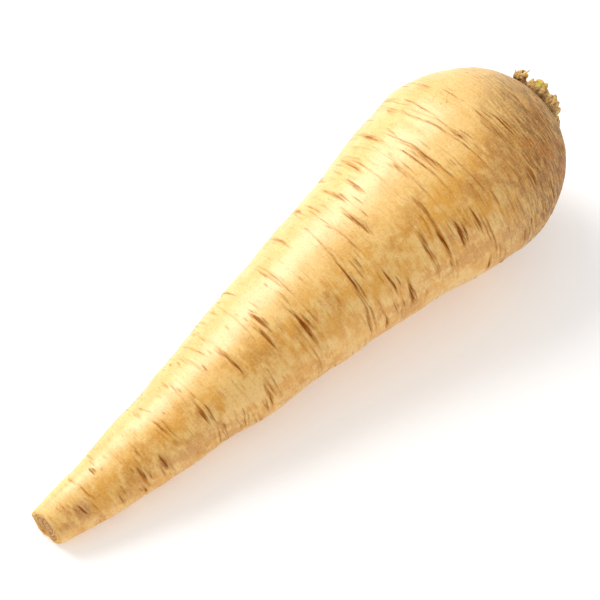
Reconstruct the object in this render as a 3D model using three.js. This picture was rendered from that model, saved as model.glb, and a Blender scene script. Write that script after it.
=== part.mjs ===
// A parsnip, topped and tailed, lying on its side: one taproot, and in the dish of its crown
// the cut and dried stubs of its leaf stalks round one green shoot.
//
// Millimetres, +Z up. The root lies along +X, from the cut tip to the crown, and rests on Z = 0.
// Its own outline is turned about a local +Y axis, which the last step lays down along +X.
import * as THREE from "three";

// ---- Taproot: driving dimensions -------------------------------------------------------------
const TIP_R = 6.2; // radius at the cut tip
const SHOULDER_R = 31; // widest radius, near the crown
const TAPER_LENGTH = 164.5; // from the cut tip to the widest ring
const CROWN_RISE = 35; // how far the shoulder's ellipse would reach past the widest ring
const TIP_EDGE_R = 1; // rounding of the tip's cut edge
const TIP_HOLLOW = 0.5; // how far the cut face has dried in at its middle
const TIP_CUT_TILT = THREE.MathUtils.degToRad(14); // how far the knife cut is off square
const TIP_CUT_TURN = THREE.MathUtils.degToRad(24); // which way it faces, from straight up towards -Y
const TIP_CUT_FADE = 15; // length over which the rings turn square again

// ---- Crown dish -------------------------------------------------------------------------------
const DISH_WALL = 3.2; // width of the dish's sloping wall and lip
const DISH_DEPTH = 3; // from the lip down to the floor
const LIP_PULL = [0.6, 0.35]; // shares of the wall and the depth that round the lip over
const FOOT_PULL = [0.3, 0.3]; // shares of the wall and the depth that round the wall's foot

// ---- How the root departs from a turned shape ---------------------------------------------------
const OVAL = 0.014; // share by which it is wider than it is tall
const LOBES = 0.007; // share of the slow three-sided swelling
const LOBE_TWIST = 4; // radians by which the swelling turns over the whole length
const LUMPS = 0.3; // height of the low lumps
const LUMP_WAVES = [17, 29]; // radians that each of the lumps' two waves runs through
const LUMP_FADE = 0.15; // share of the length, at the crown's end, over which they die out
const SIDE_BOW = 1.6; // sideways bow of the centre line, towards +Y
const BELLY_RISE = 0.8; // how far the middle arches off the surface
const REST_FLAT = 0.35; // depth of the flats that it lies on

// ---- Leaf-stalk stubs ---------------------------------------------------------------------------
const SHOOT_R = 2.4; // radius of the green shoot
const STUB_THICK = 2.1; // thickness of a stalk at its middle
const RING_GAP = 0.7; // clearance from the shoot to the inner ring, and between the rings
const WALL_GAP = 0.7; // clearance from the outer ring to the dish's wall
const FLOOR_GAP = 0.3; // clearance from a stub down to the dish floor
const SIDE_GAP = 1.2; // clearance between neighbours in one ring
const SHOOT_HEIGHT = 8.5;
const INNER_HEIGHTS = [7.5, 8.5, 8]; // one stub each, in order round the crown
const OUTER_HEIGHTS = [5.5, 6, 7, 8, 7.5, 7, 6.5];
const OUTER_LEANS = [0.7, 1.6, 2.7, 4.1, 4.1, 1.7, 0.9]; // how far each one's top leans out
const OUTER_START = THREE.MathUtils.degToRad(6); // turn of the first stub from -Y, downwards
const INNER_START = THREE.MathUtils.degToRad(50);
const STUB_NARROWING = 0.12; // share of its width that a stub loses towards its top
const TORN_SHARE = 0.14; // share of the height that is torn off at the lowest of a top
const TORN_WAVE = 4; // radians per millimetre of the torn edge's wave
const TORN_SHIFT = 3; // how much that wave shifts from one stub to the next
const CRESCENT_POINT = 0.9; // how far a stub tapers away at its sides; 1 would be a sharp edge

// ---- Mesh fineness ------------------------------------------------------------------------------
const AROUND = 60;
const FACE_STEPS = 3;
const EDGE_STEPS = 2;
const TAPER_STEPS = 38;
const CROWN_STEPS = 13;
const LIP_STEPS = 5;
const SAMPLES_PER_POINT = 20; // of the smooth curves through points
const STUB_ARC_STEPS = 9;
const STUB_STEPS = 4;
const SETTLING_ROUNDS = 5; // how often the pitch is put right before the root lies still

const SKIN = new THREE.MeshStandardMaterial({ color: 0xe6c58f, roughness: 0.55, metalness: 0 });
const DRY_STALK = new THREE.MeshStandardMaterial({ color: 0xc39a5c, roughness: 0.85, metalness: 0 });
const GREEN_SHOOT = new THREE.MeshStandardMaterial({ color: 0xb9ba4a, roughness: 0.6, metalness: 0 });

// The taper as (share of the way from the tip to the widest ring, share of the growth in radius).
const TAPER = [
  [0, 0],
  [0.08, 0.082],
  [0.16, 0.16],
  [0.24, 0.242],
  [0.32, 0.3],
  [0.45, 0.452],
  [0.54, 0.515],
  [0.63, 0.605],
  [0.72, 0.682],
  [0.81, 0.772],
  [0.9, 0.908],
  [1, 1],
];

// The bow of the centre line as (share of the whole length, share of the bow).
const BOW = [
  [0, 0.4],
  [0.05, -0.1],
  [0.15, -0.55],
  [0.33, -0.25],
  [0.47, 0.6],
  [0.6, 0.85],
  [0.77, 1],
  [0.9, 0.95],
  [1, 0.6],
];

// The rings of stubs close round the shoot, and the dish closes round the rings.
const innerR = SHOOT_R + RING_GAP + STUB_THICK / 2;
const outerR = innerR + STUB_THICK + RING_GAP;
const dishFloorR = outerR + STUB_THICK / 2 + WALL_GAP;
const lipR = dishFloorR + DISH_WALL;
const lipY = TAPER_LENGTH + CROWN_RISE * Math.sqrt(1 - (lipR / SHOULDER_R) ** 2);
const floorY = lipY - DISH_DEPTH;

// A smooth curve through (share, value) points, as a function that gives the value at a share.
function smoothThrough(points) {
  const curve = new THREE.SplineCurve(points.map(([share, value]) => new THREE.Vector2(share, value)));
  const samples = curve.getPoints(points.length * SAMPLES_PER_POINT);
  return (share) => {
    const next = samples.findIndex((sample) => sample.x >= share);
    const after = next < 0 ? samples.length - 1 : Math.max(next, 1);
    const [a, b] = [samples[after - 1], samples[after]];
    return THREE.MathUtils.mapLinear(share, a.x, b.x, a.y, b.y);
  };
}

const growthAt = smoothThrough(TAPER);
const bowAt = smoothThrough(BOW);

// The taper's outline point at a share of the way to the widest ring.
function taperPoint(along) {
  return new THREE.Vector2(TIP_R + (SHOULDER_R - TIP_R) * growthAt(along), along * TAPER_LENGTH);
}

// Radius against height, as (radius, height) points from the tip's middle to the dish's middle.
function rootProfile() {
  const tipFace = new THREE.QuadraticBezierCurve(
    new THREE.Vector2(0, TIP_HOLLOW),
    new THREE.Vector2((TIP_R - TIP_EDGE_R) / 2, TIP_HOLLOW),
    new THREE.Vector2(TIP_R - TIP_EDGE_R, 0),
  );
  const startShare = TIP_EDGE_R / TAPER_LENGTH;
  const tipEdge = new THREE.QuadraticBezierCurve(
    new THREE.Vector2(TIP_R - TIP_EDGE_R, 0),
    new THREE.Vector2(TIP_R, 0),
    taperPoint(startShare),
  );
  const crown = [];
  const crownEnd = Math.acos(lipR / SHOULDER_R);
  for (let i = 1; i <= CROWN_STEPS; i++) {
    const a = (crownEnd * i) / CROWN_STEPS;
    crown.push(new THREE.Vector2(SHOULDER_R * Math.cos(a), TAPER_LENGTH + CROWN_RISE * Math.sin(a)));
  }
  const lip = new THREE.CubicBezierCurve(
    crown[crown.length - 1],
    new THREE.Vector2(lipR - DISH_WALL * LIP_PULL[0], lipY + DISH_DEPTH * LIP_PULL[1]),
    new THREE.Vector2(dishFloorR + DISH_WALL * FOOT_PULL[0], floorY + DISH_DEPTH * FOOT_PULL[1]),
    new THREE.Vector2(dishFloorR, floorY),
  );
  const taper = [];
  for (let i = 1; i <= TAPER_STEPS; i++) {
    taper.push(taperPoint(THREE.MathUtils.lerp(startShare, 1, i / TAPER_STEPS)));
  }
  return [
    ...tipFace.getPoints(FACE_STEPS),
    ...tipEdge.getPoints(EDGE_STEPS).slice(1),
    ...taper,
    ...crown,
    ...lip.getPoints(LIP_STEPS).slice(1),
    new THREE.Vector2(dishFloorR / 2, floorY),
    new THREE.Vector2(0, floorY),
  ];
}

// How much wider or narrower the root is at this height, in this direction, than a turned shape.
// turn is measured from straight up towards +Y.
function girth(share, turn) {
  return 1 - OVAL * Math.cos(2 * turn) + LOBES * Math.cos(3 * turn + LOBE_TWIST * share);
}

// Low lumps, which die out towards the crown's dish.
function lump(share, turn) {
  const [slow, quick] = LUMP_WAVES;
  const wave = Math.sin(slow * share + 2 * turn) * Math.sin(quick * share - turn + 1);
  return LUMPS * wave * THREE.MathUtils.smoothstep(1 - share, 0, LUMP_FADE);
}

// The turned shape, made oval, lumpy and bowed, with its tip cut askew. Local x becomes -Y and
// local z becomes up when it is laid down, so turn = atan2(-x, z).
function taprootGeometry() {
  const geometry = new THREE.LatheGeometry(rootProfile(), AROUND);
  const position = geometry.getAttribute("position");
  const point = new THREE.Vector3();
  for (let i = 0; i < position.count; i++) {
    point.fromBufferAttribute(position, i);
    const share = point.y / lipY;
    const radius = Math.hypot(point.x, point.z);
    const turn = Math.atan2(-point.x, point.z);
    const grown = radius * girth(share, turn) + (radius > dishFloorR / 2 ? lump(share, turn) : 0);
    const fade = 1 - THREE.MathUtils.smoothstep(point.y, 0, TIP_CUT_FADE);
    const slope = Math.tan(TIP_CUT_TILT) * Math.cos(turn + TIP_CUT_TURN);
    const { aside, up } = centreAt(point.y);
    position.setXYZ(
      i,
      -grown * Math.sin(turn) - aside,
      point.y + grown * slope * fade,
      grown * Math.cos(turn) + up,
    );
  }
  return geometry;
}

// Where the centre line is at this height: aside towards +Y, and up.
function centreAt(y) {
  const share = THREE.MathUtils.clamp(y / lipY, 0, 1);
  return { aside: SIDE_BOW * bowAt(share), up: BELLY_RISE * Math.sin(Math.PI * share) };
}

// Lays local +Y down along +X, with the crown's end tipped up by the pitch.
function layDown(pitch) {
  const along = new THREE.Vector3(Math.cos(pitch), 0, Math.sin(pitch));
  const upward = new THREE.Vector3(-Math.sin(pitch), 0, Math.cos(pitch));
  const across = new THREE.Vector3().crossVectors(along, upward);
  return new THREE.Matrix4().makeBasis(across, along, upward);
}

// The lowest vertex of the tip's half and of the shoulder's half.
function lowestPoints(position) {
  const lowest = [new THREE.Vector3(0, 0, Infinity), new THREE.Vector3(0, 0, Infinity)];
  const point = new THREE.Vector3();
  for (let i = 0; i < position.count; i++) {
    point.fromBufferAttribute(position, i);
    const half = point.x < TAPER_LENGTH / 2 ? 0 : 1;
    if (point.z < lowest[half].z) {
      lowest[half].copy(point);
    }
  }
  return lowest;
}

// The pitch at which both halves touch the surface. It starts from the line that touches the
// tip's circle and the shoulder's, and each round turns out the height that is left between them.
function restingPitch(geometry) {
  let pitch = Math.asin((SHOULDER_R - TIP_R) / TAPER_LENGTH);
  for (let round = 0; round < SETTLING_ROUNDS; round++) {
    const laid = geometry.clone().applyMatrix4(layDown(pitch));
    const [tip, shoulder] = lowestPoints(laid.getAttribute("position"));
    pitch -= Math.atan2(shoulder.z - tip.z, shoulder.x - tip.x);
  }
  return pitch;
}

// The matrix that lays the root on the surface, pressed into it by the depth of its flats.
function restingPlace(geometry) {
  const place = layDown(restingPitch(geometry));
  const laid = geometry.clone().applyMatrix4(place);
  const [tip, shoulder] = lowestPoints(laid.getAttribute("position"));
  return place.setPosition(0, 0, -Math.min(tip.z, shoulder.z) - REST_FLAT);
}

// The laid root, flattened where it would reach below the surface.
function makeTaproot(geometry, place) {
  geometry.applyMatrix4(place);
  const position = geometry.getAttribute("position");
  for (let i = 0; i < position.count; i++) {
    position.setZ(i, Math.max(position.getZ(i), 0));
  }
  const mesh = new THREE.Mesh(geometry, SKIN);
  mesh.name = "taproot";
  return mesh;
}

// A crescent across the ring, thickest at its middle, as a stalk's cut base is.
function crescent(ringR, span) {
  const outer = [];
  const inner = [];
  for (let i = 0; i <= STUB_ARC_STEPS; i++) {
    const side = (2 * i) / STUB_ARC_STEPS - 1;
    const a = (side * span) / 2;
    const half = (STUB_THICK / 2) * Math.sqrt(1 - CRESCENT_POINT * side * side);
    outer.push(new THREE.Vector2(Math.cos(a), Math.sin(a)).multiplyScalar(ringR + half));
    inner.push(new THREE.Vector2(Math.cos(a), Math.sin(a)).multiplyScalar(ringR - half));
  }
  return new THREE.Shape([...outer, ...inner.reverse()]);
}

// One stub, standing along local +Y on the dish floor, leaning out above the dish's lip, with a
// torn and slanting top.
function makeStub(name, material, outline, height, lean, turn) {
  const geometry = new THREE.ExtrudeGeometry(outline, {
    depth: height,
    steps: STUB_STEPS,
    bevelEnabled: false,
  });
  const position = geometry.getAttribute("position");
  for (let i = 0; i < position.count; i++) {
    const x = position.getX(i);
    const y = position.getY(i);
    const up = position.getZ(i) / height;
    const pastLip = THREE.MathUtils.smoothstep(up * height, DISH_DEPTH, height);
    const wave = (1 + Math.sin(TORN_WAVE * y + TORN_SHIFT * turn)) / 2;
    const torn = 1 - TORN_SHARE * up * wave;
    position.setXYZ(i, x + lean * pastLip, y * (1 - STUB_NARROWING * up), height * up * torn);
  }
  geometry.rotateZ(turn);
  geometry.rotateX(-Math.PI / 2);
  const mesh = new THREE.Mesh(geometry, material);
  mesh.name = name;
  mesh.position.y = FLOOR_GAP;
  return mesh;
}

// One ring of crescent stubs, evenly spaced, named ringName_1, ringName_2 and so on.
function stubRing(ringName, ringR, heights, leans, startTurn) {
  const pitchTurn = (2 * Math.PI) / heights.length;
  const outline = crescent(ringR, pitchTurn - SIDE_GAP / (ringR - STUB_THICK / 2));
  return heights.map((height, i) => {
    const turn = startTurn + i * pitchTurn;
    return makeStub(`${ringName}_${i + 1}`, DRY_STALK, outline, height, leans[i], turn);
  });
}

// The crown's tuft, in a group that stands at the middle of the dish floor.
function makeTuft() {
  const tuft = new THREE.Group();
  const shoot = new THREE.Shape().absarc(0, 0, SHOOT_R, 0, 2 * Math.PI);
  tuft.add(...stubRing("outer_stalk_stub", outerR, OUTER_HEIGHTS, OUTER_LEANS, OUTER_START));
  tuft.add(...stubRing("inner_stalk_stub", innerR, INNER_HEIGHTS, [0, 0, 0], INNER_START));
  tuft.add(makeStub("green_shoot", GREEN_SHOOT, shoot, SHOOT_HEIGHT, 0, 0));
  const { aside, up } = centreAt(floorY);
  tuft.position.set(-aside, floorY, up);
  return tuft;
}

// The whole parsnip, moved along the surface so that its origin is under its middle.
function makeParsnip() {
  const parsnip = new THREE.Group();
  const geometry = taprootGeometry();
  const place = restingPlace(geometry);
  const crown = new THREE.Group();
  crown.applyMatrix4(place);
  crown.add(makeTuft());
  parsnip.add(makeTaproot(geometry, place), crown);
  parsnip.updateMatrixWorld(true);
  const middle = new THREE.Box3().setFromObject(parsnip, true).getCenter(new THREE.Vector3());
  parsnip.position.set(-middle.x, -middle.y, 0);
  return parsnip;
}

export default makeParsnip();
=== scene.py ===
"""A parsnip, topped and tailed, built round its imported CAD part.

The script is laid out as an add-on and is run as a script. The root is spun from its outline,
fitted to the CAD surface and creased. The dried stalk stubs and the green shoot grow in the dish
of its crown. Sizes are in millimetres unless a name says otherwise, and MM turns them to metres.
"""

import math
import random

import bmesh
import bpy
import numpy as np
from bpy.props import FloatProperty, FloatVectorProperty, IntProperty, PointerProperty
from mathutils import Matrix, Vector, noise
from mathutils.bvhtree import BVHTree


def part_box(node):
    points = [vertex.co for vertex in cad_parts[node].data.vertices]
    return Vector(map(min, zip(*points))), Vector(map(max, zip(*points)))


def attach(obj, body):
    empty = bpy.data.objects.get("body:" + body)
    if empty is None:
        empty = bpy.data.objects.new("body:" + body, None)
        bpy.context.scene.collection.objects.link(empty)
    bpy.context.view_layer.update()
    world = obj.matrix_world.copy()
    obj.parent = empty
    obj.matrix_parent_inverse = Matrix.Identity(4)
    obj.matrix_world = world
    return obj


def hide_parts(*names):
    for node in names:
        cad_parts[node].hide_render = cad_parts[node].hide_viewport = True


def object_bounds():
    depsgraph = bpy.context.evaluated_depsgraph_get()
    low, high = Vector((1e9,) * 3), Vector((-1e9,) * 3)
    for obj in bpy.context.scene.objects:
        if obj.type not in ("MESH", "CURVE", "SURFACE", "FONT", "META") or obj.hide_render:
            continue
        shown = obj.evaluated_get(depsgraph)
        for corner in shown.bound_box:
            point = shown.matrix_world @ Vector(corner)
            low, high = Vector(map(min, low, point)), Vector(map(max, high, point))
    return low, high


bl_info = {
    "name": "Parsnip",
    "version": (1, 0, 0),
    "blender": (4, 5, 0),
    "location": "View3D > Sidebar > Parsnip",
    "description": "Builds a parsnip, topped and tailed, lying on its side",
    "category": "Add Mesh",
}

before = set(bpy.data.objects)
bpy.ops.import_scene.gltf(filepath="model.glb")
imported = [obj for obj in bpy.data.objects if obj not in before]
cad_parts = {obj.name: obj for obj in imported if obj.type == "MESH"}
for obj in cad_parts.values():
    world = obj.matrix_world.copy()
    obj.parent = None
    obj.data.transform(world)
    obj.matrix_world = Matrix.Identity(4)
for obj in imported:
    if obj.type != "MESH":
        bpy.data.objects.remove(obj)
CAD_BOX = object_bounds()

MM = 0.001
MERGE = 1e-6  # vertices closer than this, in metres, are one
OUTER_STUBS = sorted(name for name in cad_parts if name.startswith("outer_stalk_stub"))
INNER_STUBS = sorted(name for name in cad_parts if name.startswith("inner_stalk_stub"))

# ---- The root's outline ----
# (distance from the cut tip, radius), from the tip's middle to the middle of the crown's dish.
TIP_OUTLINE = [(0.5, 0), (0.3, 2.6), (0, 4.6), (0, 5.4), (0.3, 6)]
SIDE_OUTLINE = [
    (0.3, 6), (1.2, 6.3), (13, 8.2), (26, 10.2), (40, 12.2), (53, 13.6), (74, 17.4), (89, 19),
    (104, 21.2), (118, 23.1), (133, 25.3), (148, 28.7), (158, 30.6), (164.5, 31), (170.6, 30.5),
    (176.5, 29.1), (182, 26.8), (187, 23.7), (191.3, 19.9), (194.8, 15.5), (196.2, 13.1),
]
DISH_OUTLINE = [(196.2, 13.1), (196.3, 12.2), (195.6, 11.3), (194.2, 10.5), (193.3, 9.6), (193.3, 0)]
SHOULDER = 164.5  # where the root is widest
WIDEST = 31  # its radius there
TIP_CUT_TILT = math.radians(14)  # how far the knife cut is off square
TIP_CUT_TURN = math.radians(24)  # which way it faces
TIP_CUT_FADE = 15  # length over which the rings turn square again
TIP_REACH = 3  # the tip's middle is worked out from what lies this close to its end
TIP_MIDDLE = 1.2  # how far the middle of the slanting cut lies from the tip's farthest point
TIP_SPACING = 0.8  # the rings' spacing on the cut tip, as a share of that on the side
DISH_SPACING = 2
NEARLY_FLAT = math.radians(40)  # triangles that meet at less than this are joined for smoothing
SURFACE_LEVELS = 2  # how often the CAD surface is divided to smooth its facets

# ---- Marks on the skin ----
# Creases, each as (along from the tip, turn in degrees from straight up towards +Y, half its span
# in degrees, half width, depth, how far it slants along the root from end to end, darkness).
CREASES = [
    (2, -38, 32, 0.35, 0.15, 0.3, 0.5), (6.5, -12, 12, 0.5, 0.15, 0, 0.4),
    (10.3, -45, 15, 0.55, 0.2, -1.5, 0.8), (13.2, 19, 12, 0.5, 0.15, 0, 0.45),
    (14.3, -25, 22, 0.4, 0.15, -1.4, 0.5), (19.2, 0, 9, 0.8, 0.25, -0.6, 0.65),
    (20.5, -73, 13, 0.5, 0.3, 0.8, 0.8), (21.8, 25, 14, 0.4, 0.12, 0.5, 0.4),
    (27.5, -85, 8, 0.8, 0.25, 0, 0.7), (29.1, -61, 15, 0.9, 0.45, 0.5, 0.95),
    (32.1, -28, 15, 0.5, 0.2, 0, 0.6), (36.1, -60, 12, 1, 0.4, 0.5, 0.85),
    (39, 22, 12, 0.5, 0.15, 0, 0.45), (41.6, -25, 14, 0.8, 0.25, -1.5, 0.6),
    (43, -21, 8, 0.5, 0.15, -0.8, 0.4), (41.8, -47, 6, 0.6, 0.15, 0, 0.5),
    (50.8, 20, 9, 0.8, 0.12, 0, 0.4), (53.1, -43, 14, 0.7, 0.5, 0.2, 1),
    (53.6, -82, 14, 0.6, 0.3, 2, 0.75), (60.5, 10, 20, 0.6, 0.12, -1.5, 0.35),
    (62.2, -81, 14, 0.4, 0.25, 2.2, 0.65), (67.5, 42, 6, 0.8, 0.2, 0, 0.55),
    (68.6, -18, 15, 0.7, 0.35, -1, 0.8), (71.5, -72, 14, 1, 0.45, 0.8, 0.85),
    (73.2, -66, 10, 0.5, 0.2, 0.5, 0.5), (75.5, 42, 8, 0.8, 0.15, 0, 0.45),
    (82.2, -8, 11, 0.8, 0.35, -1.3, 0.8), (80.7, -24, 12, 0.9, 0.35, -0.8, 0.75),
    (93.6, 18, 17, 0.5, 0.25, -0.8, 0.6), (90.7, -20, 14, 0.35, 0.15, -1, 0.55),
    (91.2, -40, 13, 1.1, 0.65, 0.4, 1), (92.7, -36, 9, 0.5, 0.25, -0.5, 0.85),
    (91.3, -58, 9, 0.4, 0.2, 0, 0.65), (104.3, 38, 14, 0.8, 0.2, 0, 0.5),
    (110, -30, 22, 0.5, 0.5, 0.8, 1), (108, -71, 13, 0.9, 0.4, 1.8, 0.8),
    (114.5, -29, 8, 0.5, 0.25, 0.3, 0.7), (113, -88, 8, 0.9, 0.45, 1.3, 0.9),
    (115.5, 50, 10, 0.7, 0.25, 1.5, 0.6), (118, 36, 9, 0.7, 0.2, 0, 0.45),
    (119, -54, 11, 0.6, 0.45, 0.1, 0.95), (117, -76, 11, 0.35, 0.2, 0.5, 0.55),
    (119.8, -76, 10, 0.35, 0.2, 0.5, 0.55), (122.8, -5, 11, 1.2, 0.3, -1.5, 0.75),
    (123.2, -71, 12, 1.1, 0.5, 1, 0.95), (124.9, 28, 12, 0.7, 0.3, -0.5, 0.65),
    (127, -86, 6, 0.6, 0.2, 1.5, 0.55), (130.5, 20, 11, 0.9, 0.2, -0.7, 0.5),
    (133.3, -48, 11, 0.8, 0.45, 1, 0.9), (132.5, -62, 8, 0.4, 0.15, 0.8, 0.55),
    (135.2, 35, 12, 0.9, 0.35, 1, 0.7), (139.3, -30, 10, 0.4, 0.2, -0.3, 0.6),
    (138.4, -48, 12, 1, 0.7, 1.1, 1), (137.8, -64, 10, 0.8, 0.3, 0.8, 0.75),
    (137, -78, 10, 0.4, 0.2, 0.5, 0.55), (142, 4, 4, 0.8, 0.2, 0, 0.55),
    (143.4, -54, 9, 0.9, 0.55, 1.5, 1), (145, -55, 7, 0.6, 0.35, 1.8, 0.85),
    (145.5, 42, 12, 0.9, 0.35, 1, 0.7), (147.5, -5, 15, 0.5, 0.3, -2.4, 0.75),
    (150, -3, 16, 0.6, 0.35, -4, 0.75), (149.7, -56, 9, 0.6, 0.4, 0.5, 0.9),
    (149, -93, 7, 0.9, 0.35, 1, 0.85), (152, -68, 20, 0.5, 0.25, 1, 0.6),
    (154, -41, 9, 0.4, 0.2, 0.5, 0.55), (156, 40, 5, 0.8, 0.25, 0, 0.65),
    (157.5, -52, 8, 0.4, 0.2, 0.5, 0.6), (159.5, -3, 26, 0.4, 0.25, -6, 0.6),
    (161.3, -8, 5, 1, 0.35, -1.3, 0.9), (162.3, -88, 6, 0.7, 0.3, 1, 0.8),
    (165.5, -80, 4, 0.6, 0.25, 0, 0.65), (168.5, 38, 7, 0.6, 0.2, 0, 0.55),
    (170.5, -22, 10, 0.4, 0.2, 0, 0.55), (171, -9, 9, 0.7, 0.25, -1, 0.65),
    (171.4, -53, 6, 0.9, 0.35, 0.3, 0.95), (174, -19, 10, 0.4, 0.35, -1.5, 0.9),
    (177, -78, 8, 0.6, 0.25, 0.6, 0.75),
]
# Brown stains, and patches that are rough with speckles: (along, turn in degrees, radius, strength).
STAINS = [
    (4.2, -55, 1.8, 0.8), (6, -30, 2.5, 0.5), (10.5, -46, 3.2, 1), (29, -62, 3, 0.4),
    (36, -60, 3, 0.35), (53, -42, 3.5, 0.4), (77, -36, 3, 0.4), (91.5, -40, 5, 0.45),
    (100.5, -33, 3.5, 0.5), (110, -32, 4, 0.35), (138.5, -48, 5, 0.45), (144, -54, 4, 0.35),
    (166, -38, 9, 0.6), (172, -50, 5, 0.6), (176.5, -38, 4, 0.7), (181, -52, 7, 0.8),
    (171, -8, 4, 0.35), (184, -75, 9, 0.7), (156, -30, 7, 0.4), (186, -35, 6, 0.6),
    (174, -66, 6, 0.4), (150, -62, 5, 0.35),
]
ROUGH_PATCHES = [
    (161.3, -8, 2.2, 1), (168.3, 14, 4, 0.8), (144.8, -53, 2.5, 0.6), (122.8, -5, 2.5, 0.6),
    (174, -24, 4, 0.7), (183, -12, 8, 0.6), (186, 8, 6, 0.5), (139, -56, 2, 0.6), (91.8, -38, 2, 0.7),
]
SEED = 11
ALL_ROUND = (-180, 180)
HIDDEN_TURNS = (55, 255)  # the far and lower sides, where marks are strewn at random
STREAKS_BESIDE = 2  # thin ones beside each crease of the list
GROWTH_LINES = 90  # faint long ones all round
STREWN_CREASES = 70
STREWN_STAINS = 14
NICKS = 420  # small ones all round
NICK_REACH = 190
NICK_CROWDING = 0.7  # below 1, they lie closer together towards the crown

# The section across a crease, in half widths from its middle, and how it changes along its span.
CREASE_REACH = 5  # there's nothing left of it beyond this
CREASE_TAIL = 1.7  # it dies out this many times its half span from its middle
CREASE_ENDS = 0.25  # its width there, as a share of its half width
CREASE_SWELL = 0.45  # how much that share grows towards its middle
THINNEST = 0.3
GROOVE_WIDTH = 0.65
GROOVE_FADE = 1.5  # above 1, the groove dies out before its lips
LIP_PLACE = 1.5
LIP_WIDTH = 0.7
CROWN_LIP = 0.4  # the lips' heights, as shares of the groove's depth
TIP_LIP = 0.2
# How pale the tip-side lip is painted, as a share of the crown-side one: the lips' paleness is a painted
# highlight on their raised edges.
TIP_LIP_PALENESS = 0.5
DARK_WIDTH = 1.2
WOBBLE = 0.3  # how far it strays from a straight line
WOBBLE_LENGTH = 30
WOBBLE_DEGREES = 13

# ---- The skin's own relief ----
# Each kind of bump as (height, size of one, shift of its noise). A size is one number, or it is
# (along, round, round) where they're longer one way.
LARGE_LUMPS = (0.3, 11, 0)
SMALL_LUMPS = (0.1, 4.5, 5)
FOLDS = (0.16, (4.5, 20, 20), 7)
WRINKLES = (0.05, (1.6, 13, 13), 9)  # twice as high near the crown
CROWN_FIBRES = (0.09, (1, 5, 5), 14)
GRIT = (0.2, 0.9, 3)
CUT_GRIT = 1.1  # the grit's height on the cut tip, as a share of its height elsewhere
CUT_TEARS = (0.35, 2.2, 4)
CORE_RING = 4.1  # radius of the groove round the core of the cut tip
CORE_RING_WIDTH = 0.35
CORE_DEPTH = 0.3  # of the groove, and of the hollow inside it
CORE_HOLLOW = (1, 4.4)  # radii between which the hollow rises to the rim

# Where each part of the skin starts or ends: the two values between which it changes.
SIDE_STARTS = (0.5, 3)
SIDE_ENDS = (192, 196)
CUT_FACING = (0.55, 0.85)  # how squarely a spot of the cut faces away from the crown
CUT_ENDS = (3, 4)
DISH_STARTS = (190, 194)
DISH_RADII = (12, 14.5)
CROWN_BROWNING = (164, 200)  # where the skin turns fibrous and brown
CROWN_BROWN_SIDE = 20  # how much further that reaches down the -Y side
HIGHLIGHT_TURN = math.radians(30)  # the side that faces the key light, painted paler there as a highlight
HIGHLIGHT_SPREAD = (0.45, 0.95)  # cosines of the turn away from it

# ---- The tuft ----
STUB_SPREAD = 3  # how much wider each way a stub's foot is than its CAD solid
STUB_NARROWING = 0.4  # share of that which is gone at its top
STUB_LIFT = {"outer_stalk_stub_5": 0.5, "outer_stalk_stub_1": 0.4}  # torn tissue above the solids
USUAL_LIFT = 1.3
STUB_SWELL = 0.4  # how far its sides lie outside the solid's
STUB_TORN = 0.35  # above this share of its height it is torn and loose
STUB_ROOTED = 0.25  # below this share of its height it is drawn down into the crown
STUB_SINK = 0.8  # how far down
TEARS = (0.8, 0.9, 7)  # two kinds of bump, with heights as shares of the setting "torn"
RAGS = (1.6, 2.2, 11)
GROOVES = (0.45, (0.5, 0.5, 4), 0)  # their size is (round, outward, along)
STUB_LUMPS = (0.5, 2.4, 3)
CRUMBS = (0.6, 0.8, 5)
FIRM_RELIEF = 0.4  # share of the lumps and crumbs where the stub isn't torn
HOLLOWS = (0.15, 0.6)  # depths between which a hollow is painted dark as shade
LIVING_PATCH = (200.6, 8.2, math.radians(5))  # the place where an old stalk is still green
LIVING_RADII = (0.8, 2.3)
FIBRE_SIDES = 6
FIBRE_STEPS = 3
FIBRE_TAPER = (0.8, 0.8, 0.8)  # how much a fibre narrows at each step
FIBRE_FOOT = 0.6  # fibres grow round a stub's outline above this share of its height
RIBS = 7
RIB_HEIGHT = 0.16
RIB_RADII = (0.8, 2)  # the shoot's ribs rise between these
DENTS = (0.25, 1.1, 21)
SHOOT_CUT = 0.5  # the shoot slants above this share of its height
SHOOT_CUT_SLOPE = 0.35
SHOOT_CUT_TURN = 1  # in radians

# ---- The studio, in metres ----
KEY_DIRECTION = (-0.1, 0.72, 0.69)
KEY_DISTANCE = 0.95
KEY_SIZE = 0.65
FLOOR_SQUARES = 8
FLOOR_SIZE = 4
NEAREST_SEEN = 0.01
FARTHEST_SEEN = 50


def smoothstep(low, high, value):
    """0 below low, 1 above high and a smooth rise between them, for numbers and arrays."""
    share = np.clip((value - low) / (high - low), 0, 1)
    return share * share * (3 - 2 * share)


def bell(value):
    """1 at 0, falling smoothly to 0 both ways, for arrays."""
    return np.exp(-(value**2))


def screen(red, green, blue):
    """A colour as a screen shows it, from 0 to 255, as the linear numbers that shaders use."""
    shares = [channel / 255 for channel in (red, green, blue)]
    return tuple(s / 12.92 if s <= 0.04045 else ((s + 0.055) / 1.055) ** 2.4 for s in shares)


def turn_between(turn, start):
    """How far a turn is from the start, from minus half a round to half a round."""
    return (turn - start + math.pi) % (2 * math.pi) - math.pi


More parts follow.
